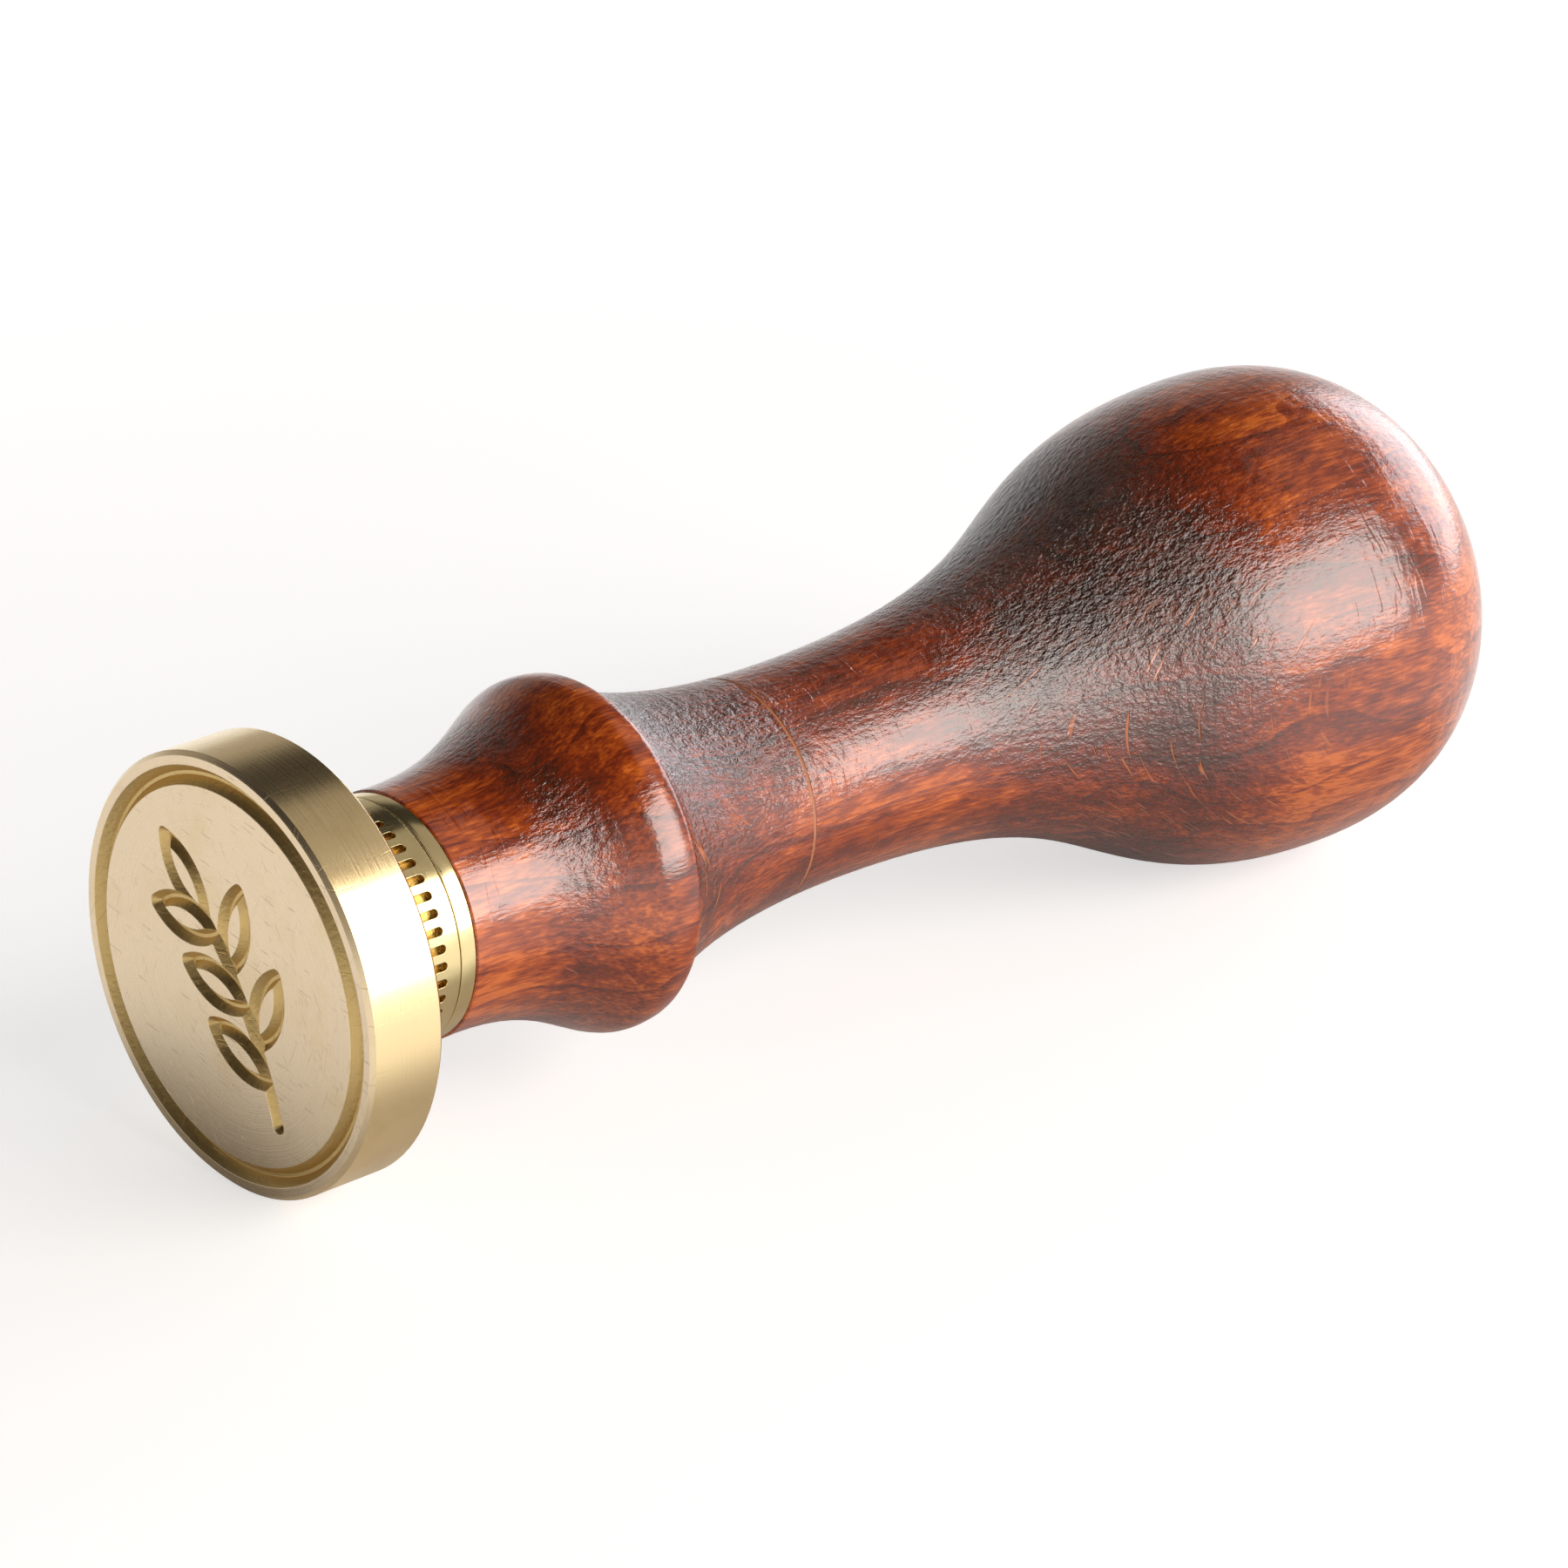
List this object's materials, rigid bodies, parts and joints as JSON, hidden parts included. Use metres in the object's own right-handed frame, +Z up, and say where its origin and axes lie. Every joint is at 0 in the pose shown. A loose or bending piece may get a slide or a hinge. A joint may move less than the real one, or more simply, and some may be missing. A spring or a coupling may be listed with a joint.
{
  "type": "wax seal stamp",
  "caption": "Wax seal stamp: a turned, stained hardwood handle with a bead and a pear-shaped grip, and a screw-on brass head with an engraved die and a reeded hub.",
  "frame": {"origin": "on the table, under the middle of the stamp as it lies on its side", "axes": "+X along the stamp from the die to the grip, level with the table; +Z up. The stamp's own axis rises 1.53 degrees towards the grip, because the belly is wider than the die."},
  "size_m": [0.0888, 0.029, 0.029],
  "materials": {
    "turned_brass": "turned and engraved, then lightly polished",
    "reeded_brass": "turned, with milled notches",
    "collar_brass": "turned",
    "zinc_plated_steel": "rolled thread, zinc plated",
    "lacquered_beech": "red-brown stain under gloss lacquer"
  },
  "bodies": {
    "handle": {"handle": "lacquered_beech", "stud": "zinc_plated_steel"},
    "collar": {"collar_washer": "collar_brass"},
    "head": {"die_disc": "turned_brass", "threaded_hub": "reeded_brass"}
  },
  "joints": [
    {"name": "head_travel", "type": "slide", "parent": "handle", "child": "collar", "axis": [-0.9996, 0, -0.0267], "range_m": [0, 0.007]},
    {"name": "head_turn", "type": "hinge", "parent": "collar", "child": "head", "pos_m": [-0.04406, 0, 0.01249], "axis": [-0.9996, 0, -0.0267], "range_deg": [0, 2520]}
  ],
  "couplings": [
    {"joint": "head_travel", "follows": "head_turn", "m_per_rad": 0.00015915}
  ]
}
